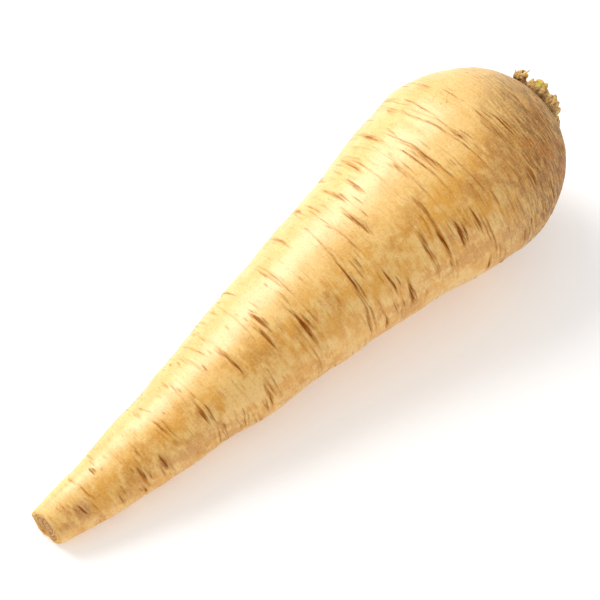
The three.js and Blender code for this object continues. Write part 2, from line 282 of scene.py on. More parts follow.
class RootAxis:
    """The root's own axis, from the middle of the cut tip to the middle of the crown's dish."""

    def __init__(self):
        points = [vertex.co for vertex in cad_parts["taproot"].data.vertices]
        end = min(point.x for point in points)
        near = [point for point in points if point.x < end + TIP_REACH * MM]
        ys = [point.y for point in near]
        zs = [point.z for point in near]
        self.tip = Vector((end + TIP_MIDDLE * MM, (min(ys) + max(ys)) / 2, (min(zs) + max(zs)) / 2))
        low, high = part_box("green_shoot")
        crown = Vector((low.x, (low.y + high.y) / 2, (low.z + high.z) / 2))
        self.along = (crown - self.tip).normalized()
        self.side = Vector((0, 0, 1)).cross(self.along).normalized()
        self.up = self.along.cross(self.side)

    def point(self, along, radius, turn):
        """The point that far from the tip and from the axis, turned in radians from up towards +Y."""
        outward = math.cos(turn) * self.up + math.sin(turn) * self.side
        return self.tip + (along * self.along + radius * outward) * MM

    def places(self, points):
        """Arrays of along, radius and turn for an array of points."""
        offset = (points - np.array(self.tip)) / MM
        height = offset @ np.array(self.up)
        aside = offset @ np.array(self.side)
        return offset @ np.array(self.along), np.hypot(height, aside), np.arctan2(aside, height)

    def rows(self, along, radius, turn):
        """The points for arrays of along, radius and turn."""
        height = (radius * np.cos(turn))[:, None] * np.array(self.up)
        aside = (radius * np.sin(turn))[:, None] * np.array(self.side)
        return np.array(self.tip) + (along[:, None] * np.array(self.along) + height + aside) * MM


axis = RootAxis()


# ---- Meshes ----
def merged_copy(node):
    """A bmesh of a CAD node with its loose triangles merged."""
    shape = bmesh.new()
    shape.from_mesh(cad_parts[node].data)
    bmesh.ops.remove_doubles(shape, verts=shape.verts, dist=MERGE)
    return shape


def shape_of(mesh):
    """A bmesh of a mesh, which is removed."""
    shape = bmesh.new()
    shape.from_mesh(mesh)
    bpy.data.meshes.remove(mesh)
    return shape


def to_object(shape, name):
    """Turns a bmesh into a smooth-shaded object at the origin."""
    mesh = bpy.data.meshes.new(name)
    shape.to_mesh(mesh)
    shape.free()
    mesh.shade_smooth()
    made = bpy.data.objects.new(name, mesh)
    bpy.context.scene.collection.objects.link(made)
    return made


def evaluated_mesh(source):
    """The object's mesh with its modifiers applied. The object itself is removed."""
    graph = bpy.context.evaluated_depsgraph_get()
    graph.update()
    mesh = bpy.data.meshes.new_from_object(source.evaluated_get(graph))
    bpy.data.objects.remove(source)
    return mesh


def smooth_surface(node):
    """A search tree of a CAD node's surface, with its facets smoothed."""
    shape = merged_copy(node)
    bmesh.ops.join_triangles(
        shape, faces=shape.faces,
        angle_face_threshold=NEARLY_FLAT, angle_shape_threshold=NEARLY_FLAT,
    )
    source = to_object(shape, node + "_surface")
    rounding = source.modifiers.new("Smooth", "SUBSURF")
    rounding.levels = SURFACE_LEVELS
    rounding.render_levels = SURFACE_LEVELS
    surface = shape_of(evaluated_mesh(source))
    tree = BVHTree.FromBMesh(surface)
    surface.free()
    return tree


def vectors(items, field):
    """A vector of each of a mesh's vertices or normals, as an array of rows."""
    flat = np.zeros(len(items) * 3)
    items.foreach_get(field, flat)
    return flat.reshape(-1, 3)


def coordinates(mesh):
    """The mesh's vertex coordinates as an array of rows."""
    return vectors(mesh.vertices, "co")


def vertex_normals(mesh):
    """The mesh's vertex normals as an array of rows."""
    return vectors(mesh.vertex_normals, "vector")


def place_vertices(mesh, points):
    """Moves the mesh's vertices to these rows."""
    mesh.vertices.foreach_set("co", points.ravel())
    mesh.update()


def store(mesh, name, values):
    """Keeps a number or a vector for each vertex, which the materials read by name."""
    kind, field = ("FLOAT_VECTOR", "vector") if values.ndim == 2 else ("FLOAT", "value")
    attribute = mesh.attributes.new(name, kind, "POINT")
    attribute.data.foreach_set(field, values.astype(np.float32).ravel())


def noise_at(rows, shift=0.0):
    """Smooth noise from about -1 to 1 for each row of an array."""
    offset = Vector((shift, -shift, 2 * shift))
    return np.array([noise.noise(Vector(row) + offset) for row in rows])


def bumps(rows, kind, seed=0):
    """One kind of bump: its height at each row of an array."""
    height, size, shift = kind
    return height * noise_at(rows / np.array(size), seed + shift)


def finish_piece(piece, material, slot, *nodes):
    """Gives a finished piece its material and its body, and hides the CAD nodes it stands for. The slot
    argument is not used.
    """
    piece.data.materials.clear()
    piece.data.materials.append(material)
    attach(piece, "root")
    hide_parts(*nodes)


# ---- The root ----
def add_chain(shape, outline, spacing, last=None):
    """Adds a chain of edges along an outline, cut to the spacing. Returns its last vertex."""
    if last is None:
        last = shape.verts.new(axis.point(*outline[0], 0))
    for start, end in zip(outline, outline[1:]):
        steps = max(1, round(math.dist(start, end) / spacing))
        for step in range(1, steps + 1):
            along, radius = Vector(start).lerp(Vector(end), step / steps)
            vertex = shape.verts.new(axis.point(along, radius, 0))
            shape.edges.new((last, vertex))
            last = vertex
    return last


def spun_root(skin):
    """The root as a turned shape with its tip cut askew, fitted to the CAD surface."""
    shape = bmesh.new()
    last = add_chain(shape, TIP_OUTLINE, skin.spacing / MM * TIP_SPACING)
    last = add_chain(shape, SIDE_OUTLINE, skin.spacing / MM, last)
    add_chain(shape, DISH_OUTLINE, skin.spacing / MM * DISH_SPACING, last)
    bmesh.ops.spin(
        shape,
        geom=shape.verts[:] + shape.edges[:],
        cent=axis.tip,
        axis=axis.along,
        angle=2 * math.pi,
        steps=skin.around,
        use_merge=True,
    )
    bmesh.ops.remove_doubles(shape, verts=shape.verts, dist=MERGE)
    bmesh.ops.recalc_face_normals(shape, faces=shape.faces)
    root = to_object(shape, "parsnip_root")
    points = coordinates(root.data)
    along, radius, turn = axis.places(points)
    slope = math.tan(TIP_CUT_TILT) * np.cos(turn + TIP_CUT_TURN)
    askew = radius * slope * (1 - smoothstep(0, TIP_CUT_FADE, along)) * MM
    points += askew[:, None] * np.array(axis.along)
    surface = smooth_surface("taproot")
    place_vertices(root.data, np.array([surface.find_nearest(Vector(p))[0] for p in points]))
    return root


class Marks:
    """Fields over the skin that the creases, stains and patches leave, and the relief they make."""

    def __init__(self, along, radius, turn):
        self.along = along
        self.radius = radius
        self.degrees = np.degrees(turn)
        self.relief, self.crease, self.darkness, self.lip, self.stain, self.rough = (
            np.zeros_like(along) for _ in range(6)
        )
        rows = np.stack([along / WOBBLE_LENGTH, self.degrees / WOBBLE_DEGREES, along * 0], 1)
        self.wobble = noise_at(rows)

    def near(self, along, turn, reach, span):
        """Which vertices lie round a place, and how far round the root they are from it."""
        aside = (self.degrees - turn + 180) % 360 - 180
        found = np.flatnonzero((np.abs(self.along - along) < reach) & (np.abs(aside) < span))
        return found, aside[found]

    def add_crease(self, along, turn, half_span, width, depth, slant, darkness):
        """A groove round the root between two raised lips, the one on the crown's side higher."""
        reach = half_span * CREASE_TAIL
        found, aside = self.near(along, turn, CREASE_REACH * width + abs(slant), reach)
        share = aside / reach
        taper = 1 - share**2
        middle = along + slant * share / 2 + WOBBLE * self.wobble[found]
        half_width = np.maximum(width * (CREASE_ENDS + CREASE_SWELL * taper**2), THINNEST)
        across = (self.along[found] - middle) / half_width
        groove = bell(across / GROOVE_WIDTH) * taper**GROOVE_FADE
        crown_lip = bell((across - LIP_PLACE) / LIP_WIDTH) * taper
        tip_lip = bell((across + LIP_PLACE) / LIP_WIDTH) * taper
        self.relief[found] += depth * (CROWN_LIP * crown_lip + TIP_LIP * tip_lip - groove)
        # The lips are painted pale as well as raised: a painted highlight along them, stronger on the
        # crown's side.
        paleness = darkness * (crown_lip + TIP_LIP_PALENESS * tip_lip)
        self.lip[found] = np.maximum(self.lip[found], paleness)
        field = taper * bell(across / DARK_WIDTH)
        deeper = field > self.crease[found]
        self.crease[found[deeper]] = field[deeper]
        self.darkness[found[deeper]] = darkness

    def add_patch(self, field, along, turn, radius, strength):
        """A soft round patch in a field."""
        found, aside = self.near(along, turn, 2 * radius, 90)
        arc = np.radians(aside) * self.radius[found]
        distance = np.hypot(self.along[found] - along, arc) / radius
        field[found] = np.maximum(field[found], strength * bell(distance))


def strewn_marks(marks):
    """Streaks beside the creases, marks on the far and lower sides, and nicks and lines all round."""
    dice = random.Random(SEED)
    for along, turn, half_span, _, depth, slant, darkness in CREASES:
        for _ in range(STREAKS_BESIDE):
            marks.add_crease(
                along=along + dice.uniform(-2, 2), turn=turn + dice.uniform(-1, 1) * half_span,
                half_span=half_span * dice.uniform(0.4, 1), width=0.4, depth=0.25 * depth,
                slant=slant, darkness=0.6 * darkness,
            )
    for _ in range(GROWTH_LINES):
        marks.add_crease(
            along=dice.uniform(25, 188), turn=dice.uniform(*ALL_ROUND),
            half_span=dice.uniform(10, 30), width=0.32, depth=0.08,
            slant=dice.uniform(-3, 1), darkness=dice.uniform(0.25, 0.55),
        )
    for _ in range(STREWN_CREASES):
        along = dice.uniform(6, 182)
        strength = dice.uniform(0.35, 1)
        half_span = dice.uniform(6, 18)
        marks.add_crease(
            along=along, turn=dice.uniform(*HIDDEN_TURNS),
            half_span=half_span, width=0.4 + 0.6 * strength, depth=0.5 * strength,
            slant=dice.uniform(-2, 2), darkness=strength,
        )
    for _ in range(STREWN_STAINS):
        marks.add_patch(
            marks.stain, along=dice.uniform(8, 182), turn=dice.uniform(*HIDDEN_TURNS),
            radius=dice.uniform(2, 6), strength=dice.uniform(0.3, 0.6),
        )
    for _ in range(NICKS):
        along = NICK_REACH * dice.random() ** NICK_CROWDING
        strength = dice.uniform(0.2, 0.5)
        marks.add_crease(
            along=along, turn=dice.uniform(*ALL_ROUND),
            half_span=dice.uniform(2, 7), width=0.4, depth=0.12 * strength + 0.03,
            slant=dice.uniform(-0.8, 0.8), darkness=strength,
        )


def grain_rows(along, radius, turn):
    """The skin's place with its way down into the crown laid out straight along the root."""
    fall = np.where(along > SHOULDER, WIDEST - radius, 0)
    return np.stack([along + fall, radius * np.cos(turn), radius * np.sin(turn)], 1)


def weather_root(root, skin):
    """Lumps, wrinkles, creases and the rough cut tip, as relief and as fields for the material."""
    mesh = root.data
    points = coordinates(mesh)
    normals = vertex_normals(mesh)
    along, radius, turn = axis.places(points)
    marks = Marks(along, radius, turn)
    for crease in CREASES:
        marks.add_crease(*crease)
    strewn_marks(marks)
    for patch in STAINS:
        marks.add_patch(marks.stain, *patch)
    for patch in ROUGH_PATCHES:
        marks.add_patch(marks.rough, *patch)
    grain = grain_rows(along, radius, turn)
    on_side = smoothstep(*SIDE_STARTS, along) * (1 - smoothstep(*SIDE_ENDS, along))
    facing = -normals @ np.array(axis.along)
    cut = smoothstep(*CUT_FACING, facing) * (1 - smoothstep(*CUT_ENDS, along))
    dish = smoothstep(*DISH_STARTS, along) * (1 - smoothstep(*DISH_RADII, radius))
    near_crown = smoothstep(*CROWN_BROWNING, along - CROWN_BROWN_SIDE * np.sin(turn))
    place = points / MM
    lumps = bumps(place, LARGE_LUMPS) + bumps(place, SMALL_LUMPS)
    wrinkles = bumps(grain, WRINKLES) * (1 + near_crown)
    fibres = bumps(grain, CROWN_FIBRES) * near_crown
    grit = bumps(place, GRIT)
    core_ring = bell((radius - CORE_RING) / CORE_RING_WIDTH)
    core = CORE_DEPTH * (core_ring + 1 - smoothstep(*CORE_HOLLOW, radius))
    relief = marks.relief * skin.crease_depth
    relief += on_side * (lumps + bumps(grain, FOLDS) + wrinkles + fibres)
    relief += marks.rough * grit
    relief += cut * (CUT_GRIT * grit + bumps(place, CUT_TEARS) - core)
    points += (relief * MM)[:, None] * normals
    points[:, 2] = np.maximum(points[:, 2], 0)
    place_vertices(mesh, points)
    store(mesh, "grain", grain)
    for name in ("crease", "darkness", "lip", "stain", "rough"):
        store(mesh, name, getattr(marks, name))
    store(mesh, "cut", cut)
    store(mesh, "dish", dish)
    store(mesh, "crown", near_crown)
    store(mesh, "painted_highlight", smoothstep(*HIGHLIGHT_SPREAD, np.cos(turn - HIGHLIGHT_TURN)))
    store(mesh, "place", np.stack([along, radius, turn], 1))


# ---- The tuft of stubs ----
def stub_frame(node):
    """The height of a stub's foot and top along the axis, and the turn it stands at."""
    rows = coordinates(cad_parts[node].data)
    along, _, _ = axis.places(rows)
    middle = rows.mean(0, keepdims=True)
    _, _, turn = axis.places(middle)
    return along.min(), along.max(), float(turn[0])


def stub_core(node, tuft):
    """A stub's solid part, remeshed evenly from a merged copy of its CAD node."""
    source = to_object(merged_copy(node), node + "_core")
    even = source.modifiers.new("Even mesh", "REMESH")
    even.mode = "VOXEL"
    even.voxel_size = tuft.voxel
    return evaluated_mesh(source)


def sink_of(share):
    """How far a stub is drawn down into the crown, at each share of its height."""
    return STUB_SINK * (1 - smoothstep(0, STUB_ROOTED, share))


def tear_stub(mesh, node, tuft, seed):
    """Gives a stub a spread foot sunk into the crown, fibrous sides and a torn, crumbly top."""
    along, radius, turn = axis.places(coordinates(mesh))
    foot, top, stub_turn = stub_frame(node)
    share = (along - foot) / (top - foot)
    loose = smoothstep(STUB_TORN, 1, share)
    swing = turn_between(turn, stub_turn)
    spread = STUB_SPREAD * (1 - STUB_NARROWING * loose) * swing / np.abs(swing).max()
    turn = turn + spread / radius
    arc = turn * radius
    section = np.stack([arc, radius, along * 0], 1)
    tears = bumps(section, TEARS, seed) + bumps(section, RAGS, seed)
    rise = loose * (tuft.torn / MM * tears + STUB_LIFT.get(node, USUAL_LIFT))
    points = axis.rows(along + rise - sink_of(share), radius, turn)
    place_vertices(mesh, points)
    lumps = bumps(points / MM, STUB_LUMPS, seed) + bumps(points / MM, CRUMBS, seed)
    relief = bumps(np.stack([arc, radius, along], 1), GROOVES, seed)
    relief += lumps * (FIRM_RELIEF + (1 - FIRM_RELIEF) * loose)
    place_vertices(mesh, points + ((STUB_SWELL + relief) * MM)[:, None] * vertex_normals(mesh))
    # How deep a spot lies in the relief; the material paints the deep ones dark as shade.
    store(mesh, "hollow", smoothstep(*HOLLOWS, -relief))


def add_fibre(shape, foot, lean, length, thickness, bend):
    """One tapering fibre that stands on foot and bends over."""
    direction = lean.normalized()
    place = Matrix.Translation(foot) @ direction.to_track_quat("Z", "Y").to_matrix().to_4x4()
    ring = bmesh.ops.create_circle(
        shape, cap_ends=True, segments=FIBRE_SIDES, radius=thickness / 2, matrix=place
    )["verts"]
    cap = ring[0].link_faces[0]
    for step in range(FIBRE_STEPS):
        grown = bmesh.ops.extrude_face_region(shape, geom=[cap])["geom"]
        if step:
            bmesh.ops.delete(shape, geom=[cap], context="FACES_ONLY")
        cap = next(part for part in grown if isinstance(part, bmesh.types.BMFace))
        move = (direction * length + bend * (2 * step)) / FIBRE_STEPS
        bmesh.ops.translate(shape, verts=cap.verts, vec=move)
        middle = Matrix.Translation(-cap.calc_center_median())
        bmesh.ops.scale(shape, verts=cap.verts, vec=FIBRE_TAPER, space=middle)


def add_fibres(shape, node, tuft, dice):
    """Loose fibres out of a stub's torn top."""
    foot, top, turn = stub_frame(node)
    lowest = foot + FIBRE_FOOT * (top - foot)
    places = zip(*axis.places(coordinates(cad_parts[node].data)))
    upper = [place for place in places if place[0] > lowest]
    middle_radius = sum(radius for _, radius, _ in upper) / len(upper)
    for _ in range(tuft.fibres):
        _, edge_radius, edge_turn = dice.choice(upper)
        swing = turn_between(edge_turn, turn)
        radius = float(edge_radius + dice.uniform(0.1, 0.9) * (middle_radius - edge_radius))
        fibre_turn = float(turn + swing * dice.uniform(0.3, 1.15))
        base = axis.point(float(top) - dice.uniform(1.2, 4), radius, fibre_turn)
        outward = axis.point(0, 1, fibre_turn) - axis.tip
        scatter = Vector([dice.uniform(-0.3, 0.3) for _ in range(3)])
        lean = axis.along + dice.uniform(-0.1, 0.7) * outward.normalized() + scatter
        add_fibre(
            shape, foot=base, lean=lean, length=dice.uniform(1.4, 3) * MM,
            bend=Vector((dice.uniform(-0.5, 0.5), dice.uniform(-0.5, 0.5), 0)) * MM,
            thickness=dice.uniform(0.6, 1.3) * MM,
        )


def store_stalk_fields(mesh, node):
    """What a stub's material reads: its place along the fibres, its height and what still lives."""
    points = coordinates(mesh)
    along, radius, turn = axis.places(points)
    foot, top, _ = stub_frame(node)
    offset = points / MM - np.array(axis.point(*LIVING_PATCH)) / MM
    store(mesh, "alive", 1 - smoothstep(*LIVING_RADII, np.linalg.norm(offset, axis=1)))
    store(mesh, "fibre", np.stack([radius * np.cos(turn), radius * np.sin(turn), along], 1))
    store(mesh, "height", (along - foot) / (top - foot))


def stalk_stub(node, tuft, seed):
    """One dried stalk stub: a torn core with loose fibres."""
    mesh = stub_core(node, tuft)
    tear_stub(mesh, node, tuft, seed)
    shape = shape_of(mesh)
    add_fibres(shape, node, tuft, random.Random(seed))
    bmesh.ops.recalc_face_normals(shape, faces=shape.faces)
    stub = to_object(shape, node.replace("stalk_stub", "stalk"))
    store_stalk_fields(stub.data, node)
    return stub


def green_shoot(tuft):
    """The living shoot in the middle: a soft, ribbed stump with a cut top."""
    node = "green_shoot"
    mesh = stub_core(node, tuft)
    points = coordinates(mesh)
    normals = vertex_normals(mesh)
    along, radius, turn = axis.places(points)
    foot, top, _ = stub_frame(node)
    share = (along - foot) / (top - foot)
    ribs = RIB_HEIGHT * np.cos(RIBS * turn) * smoothstep(*RIB_RADII, radius)
    dents = bumps(points / MM, DENTS)
    slope = SHOOT_CUT_SLOPE * np.cos(turn + SHOOT_CUT_TURN)
    slant = smoothstep(SHOOT_CUT, 1, share) * radius * slope
    points += ((ribs + dents) * MM)[:, None] * normals
    points += ((slant - sink_of(share)) * MM)[:, None] * np.array(axis.along)
    place_vertices(mesh, points)
    shoot = to_object(shape_of(mesh), "young_shoot")
    store_stalk_fields(shoot.data, node)
    return shoot


# ---- Shaders ----
class Wire:
    """A value that a shader works out at each point. Arithmetic on it adds Math nodes."""

    def __init__(self, shader, socket):
        self.shader = shader
        self.socket = socket

    def __add__(self, other):
        return self.shader.maths("ADD", self, other)

    def __sub__(self, other):
        return self.shader.maths("SUBTRACT", self, other)

    def __rsub__(self, other):
        return self.shader.maths("SUBTRACT", other, self)

    def __mul__(self, other):
        return self.shader.maths("MULTIPLY", self, other)

    __radd__ = __add__
    __rmul__ = __mul__


class Shader:
    """One material, written as expressions on its wires."""

    def __init__(self, name):
        self.material = bpy.data.materials.new(name)
        self.material.use_nodes = True
        self.tree = self.material.node_tree
        self.tree.nodes.clear()

    def node(self, kind, settings, sockets, output=0):
        """Adds a node: its settings first, then the values or links of its sockets."""
        node = self.tree.nodes.new(kind)
        for name, value in settings.items():
            setattr(node, name, value)
        for name, value in sockets.items():
            if isinstance(value, Wire):
                self.tree.links.new(value.socket, node.inputs[name])
            else:
                node.inputs[name].default_value = value
        return Wire(self, node.outputs[output])

    def maths(self, operation, first, second=0.0):
        """One Math node."""
        return self.node("ShaderNodeMath", {"operation": operation}, {0: first, 1: second})

    def field(self, name):
        """A number kept on the vertices."""
        return self.node("ShaderNodeAttribute", {"attribute_name": name}, {}, "Fac")

    def rows(self, name):
        """A vector kept on the vertices."""
        return self.node("ShaderNodeAttribute", {"attribute_name": name}, {}, "Vector")

    def part(self, vector, letter):
        """One component of a vector."""
        return self.node("ShaderNodeSeparateXYZ", {}, {"Vector": vector}, letter)

    def noise(self, vector, stretch, detail=3.0, roughness=0.55):
        """Noise from 0 to 1, with a feature as long as stretch says along each of the axes."""
        scale = tuple(1 / length for length in stretch)
        scaled = self.node("ShaderNodeVectorMath", {"operation": "MULTIPLY"}, {0: vector, 1: scale})
        sockets = {"Vector": scaled, "Scale": 1.0, "Detail": detail, "Roughness": roughness}
        return self.node("ShaderNodeTexNoise", {}, sockets)

    def between(self, value, low, high):
        """0 below low, 1 above high, with a smooth rise between them."""
        sockets = {"Value": value, "From Min": low, "From Max": high}
        return self.node("ShaderNodeMapRange", {"interpolation_type": "SMOOTHSTEP"}, sockets)

    def blend(self, factor, first, second):
        """One colour turning into another."""
        colours = [c if isinstance(c, Wire) else (*c, 1) for c in (first, second)]
        sockets = {0: factor, 6: colours[0], 7: colours[1]}
        return self.node("ShaderNodeMix", {"data_type": "RGBA"}, sockets, 2)

    def finish(self, height, bump_distance, constants, **linked):
        """The shader itself: constants are set on its sockets, and what varies is linked."""
        sockets = {"Height": height, "Distance": bump_distance, "Strength": 1.0}
        normal = self.node("ShaderNodeBump", {}, sockets)
        names = {name.replace("_", " ").title(): wire for name, wire in linked.items()}
        surface = self.node("ShaderNodeBsdfPrincipled", {}, {**constants, **names, "Normal": normal})
        output = self.tree.nodes.new("ShaderNodeOutputMaterial")
        self.tree.links.new(surface.socket, output.inputs["Surface"])
        return self.material


def skin_material(skin):
    """Waxy cream skin, golden in patches, with streaks round it and dark creases; the creases' lips and
    the side facing the key light are painted pale as highlights.
    """
    s = Shader("parsnip_skin")
    grain = s.rows("grain")
    place = s.node("ShaderNodeTexCoord", {}, {}, "Object")
    along = s.part(s.rows("place"), "X")
    radius = s.part(s.rows("place"), "Y")
    crease, darkness, lip, stain, rough = map(s.field, ("crease", "darkness", "lip", "stain", "rough"))
    cut, dish, crown, painted_highlight = map(s.field, ("cut", "dish", "crown", "painted_highlight"))

    clouds = s.noise(grain, (8, 9, 9), 2.0)
    blotches = s.noise(grain, (2.0, 3.2, 3.2), 5.0, 0.65)
    streaks = s.noise(grain, (1.1, 8, 8), 3.0)
    fine = s.noise(grain, (0.6, 4, 4), 3.0)
    hairs = s.noise(grain, (0.42, 7, 7), 2.0)
    crown_streaks = s.noise(grain, (0.7, 5, 5), 4.0, 0.65)
    speckle = s.noise(place, (0.0006, 0.0006, 0.0006), 3.0, 0.7)

    golden = s.between(clouds * 0.4 + blotches * 0.3 + streaks * 0.2 + speckle * 0.1, 0.43, 0.57)
    # Painted highlight: on the side facing the key light the skin is painted less golden and less amber,
    # and blended towards the pale lip colour.
    colour = s.blend(golden * (1 - 0.55 * painted_highlight), skin.cream, skin.golden)
    amber = s.between(s.noise(grain, (14, 12, 12), 3.0) + (blotches - 0.5) * 0.5, 0.48, 0.68)
    colour = s.blend(amber * (0.85 - 0.6 * painted_highlight), colour, skin.amber)
    colour = s.blend(painted_highlight * 0.35, colour, skin.lip)
    mottle = s.noise(place, (0.004, 0.004, 0.004), 5.0, 0.65)
    weathered = s.between(crown_streaks * 0.5 + mottle * 0.5, 0.43, 0.55)
    colour = s.blend(crown * 0.9, colour, s.blend(weathered, skin.shoulder, skin.fibrous))
    worn = s.between(stain + (streaks - 0.5) * 0.9 + (blotches - 0.5) * 0.6, 0.1, 1.0)
    colour = s.blend(worn * 0.8, colour, skin.stain)
    dashes = s.between(hairs * 0.5 + fine * 0.5, 0.53, 0.66)
    colour = s.blend(dashes * (0.35 + 0.3 * crown), colour, skin.stain)
    dark_hairs = s.between(1 - crown_streaks + (mottle - 0.5) * 0.5, 0.5, 0.64)
    colour = s.blend(dark_hairs * crown * 0.7, colour, skin.bark_and_dish_shade)
    colour = s.blend(s.between(speckle + (fine - 0.5) * 0.4, 0.5, 0.62) * 0.22, colour, skin.lip)
    freckles = s.between(1 - speckle, 0.53, 0.64)
    colour = s.blend(freckles * (0.3 + 0.6 * rough), colour, skin.stain)
    # Painted highlight: the creases' raised lips are painted pale, except inside the crease itself.
    pale = s.between(lip, 0.15, 0.8) * (1 - s.between(crease, 0.3, 0.7))
    colour = s.blend(pale * 0.4, colour, skin.lip)
    halo = s.between(crease + (fine - 0.5) * 0.7 + (blotches - 0.5) * 0.3, 0.15, 0.9) * darkness
    colour = s.blend(halo * 0.65, colour, skin.stain)
    core = s.between(crease * 0.65 + (hairs - 0.5) * 2 + (speckle - 0.5) * 0.3, 0.45, 0.8) * darkness
    colour = s.blend(core * 0.85, colour, skin.crease)

    rim = s.between(radius + (blotches - 0.5) * 1.5, 4.3, 4.9) * (1 - s.between(along, 1.5, 4.5))
    colour = s.blend(rim * 0.5, colour, skin.cream)
    wavy = radius * 0.8 + mottle * 4 + speckle * 0.6
    rings = s.between(s.maths("PINGPONG", wavy, 0.5), 0.05, 0.25)
    flesh = s.blend(0.3 + 0.7 * rings, skin.bark_and_dish_shade, skin.cut)
    flesh = s.blend(s.between(mottle * 0.6 + speckle * 0.4, 0.5, 0.6) * 0.6, flesh, skin.stain)
    colour = s.blend(cut * (1 - rim * 0.8), colour, flesh)
    # Painted shade: the crown's dish is darkened towards the bark colour, as shade falls down inside it.
    colour = s.blend(dish * (0.6 + 0.4 * mottle), colour, skin.bark_and_dish_shade)

    height = blotches * 1.2 + streaks * 0.9 + fine * 0.5 + hairs * (0.3 + 0.6 * crown)
    height = height + speckle * (0.3 + 0.8 * rough + 1.2 * cut)
    height = height - core * 1.2 - dark_hairs * crown * 0.7 + pale * 0.5 - (1 - rings) * cut * 0.8
    dull = 0.45 + fine * 0.16 + core * 0.4 + crown * 0.15 + cut * 0.3 + dish * 0.25
    constants = {"IOR": 1.5, "Specular IOR Level": 0.25, "Coat Roughness": 0.38, "Coat IOR": 1.95}
    shine = (0.65 - 0.5 * crown - 0.4 * cut) * (1 - halo) * (1 - core)
    linked = {"base_color": colour, "roughness": dull, "coat_weight": shine}
    return s.finish(height, 0.26 * MM, constants, **linked)


def dry_stalk_material(tuft):
    """Dry fibrous tissue, tan and pale in streaks and browned in patches; painted shade darkens it down
    in the crown and in its hollows, so that only its torn tops stay light.
    """
    s = Shader("dry_stalk")
    fibre = s.rows("fibre")
    height = s.field("height")
    strands = s.noise(fibre, (0.5, 0.5, 4), 3.0)
    blotches = s.noise(fibre, (1.8, 1.8, 2.2), 3.0)
    grit = s.noise(fibre, (0.45, 0.45, 0.6), 3.0, 0.7)
    colour = s.blend(s.between(strands * 0.6 + blotches * 0.4, 0.4, 0.6), tuft.tan, tuft.pale)
    colour = s.blend(s.between(blotches * 0.6 + grit * 0.4, 0.52, 0.64) * 0.7, colour, tuft.rust)
    colour = s.blend(s.between(grit, 0.58, 0.7) * 0.5, colour, tuft.dark)
    # Painted shade: the stub is darkened towards its foot, down in the crown among the other stubs.
    shaded = 1 - s.between(height + (blotches - 0.5) * 0.9, 0.55, 1.05)
    colour = s.blend(shaded * 0.85, colour, tuft.dark)
    living = s.between(s.field("alive") + (blotches - 0.5) * 0.5, 0.2, 1)
    colour = s.blend(living * 0.9, colour, tuft.lime)
    # Painted shade in the hollows of the stub's relief.
    colour = s.blend(s.field("hollow") * 0.8, colour, tuft.dark)
    relief = strands * 0.7 + grit
    dull = 0.72 + grit * 0.2
    constants = {"Specular IOR Level": 0.2}
    return s.finish(relief, 0.5 * MM, constants, base_color=colour, roughness=dull)


def green_shoot_material(tuft):
    """Living tissue, yellow-green with tan blotches, and painted shade that darkens it towards its foot.
    """
    s = Shader("green_shoot")
    fibre = s.rows("fibre")
    height = s.field("height")
    strands = s.noise(fibre, (0.6, 0.6, 5), 2.0)
    blotches = s.noise(fibre, (1.8, 1.8, 2.5), 3.0)
    colour = s.blend(s.between(strands, 0.35, 0.65), tuft.green, tuft.lime)
    colour = s.blend(s.between(blotches, 0.56, 0.7) * 0.7, colour, tuft.tan)
    # Painted shade: the shoot is darkened towards its foot, down among the stubs.
    colour = s.blend((1 - s.between(height, 0.2, 0.7)) * 0.8, colour, tuft.dark)
    constants = {"Subsurface Weight": 0.15, "Subsurface Scale": 0.001}
    dull = 0.45 + strands * 0.2
    return s.finish(strands, 0.3 * MM, constants, base_color=colour, roughness=dull)


def floor_material(studio):
    """A plain pale floor."""
    s = Shader("pale_floor")
    mottle = s.noise(s.node("ShaderNodeTexCoord", {}, {}, "Object"), (0.05, 0.05, 0.05))
    shade = s.blend(mottle * 0.02, studio.floor, (0.8, 0.8, 0.8))
    glow = {"Emission Color": (1, 1, 1, 1), "Emission Strength": studio.glow}
    dull = 0.7 + mottle * 0.05
    return s.finish(mottle * 0.1, 0.1 * MM, glow, base_color=shade, roughness=dull)


# ---- Settings ----
def colour_property(name, description, default):
    """A colour that a user may change."""
    return FloatVectorProperty(
        name=name, description=description, default=default, subtype="COLOR", size=3, min=0, max=1
    )


class ParsnipSkin(bpy.types.PropertyGroup):
    """Sizes and colours of the root."""

    spacing: FloatProperty(
        name="Ring spacing", description="Distance between the root's rings",
        default=0.38 * MM, min=0.3 * MM, max=4 * MM, precision=5, subtype="DISTANCE", unit="LENGTH",
    )
    around: IntProperty(
        name="Around", description="Vertices in each ring", default=150, min=24, max=160
    )
    crease_depth: FloatProperty(
        name="Crease depth", description="How deep the creases are, as a share of their own depth",
        default=1.0, min=0, max=2, subtype="FACTOR",
    )
    cream: colour_property("Cream", "The palest skin", screen(248, 198, 106))
    amber: colour_property("Amber", "The deepest golden patches", screen(212, 142, 10))
    golden: colour_property("Golden", "The golden patches", screen(232, 162, 24))
    shoulder: colour_property("Shoulder", "The fibrous skin round the crown", screen(140, 94, 48))
    fibrous: colour_property("Fibrous", "Paler fibres round the crown", screen(216, 164, 90))
    stain: colour_property("Stain", "Stains and streaks", screen(190, 114, 22))
    crease: colour_property("Crease", "Inside the creases", screen(150, 64, 8))
    # The lip colour is the pale of the painted highlights, on the creases' lips and on the side facing
    # the key light; it also colours small pale flecks.
    lip: colour_property("Lip", "Raised lips beside the creases", screen(250, 216, 140))
    # Bark colours the crown's dark streaks and the rings of the cut, and is also the painted shade in
    # the crown's dish.
    bark_and_dish_shade: colour_property("Bark", "Streaks and dish of the crown, rings of the cut", screen(132, 84, 32))
    cut: colour_property("Cut tip", "The dried face of the cut tip", screen(228, 168, 88))


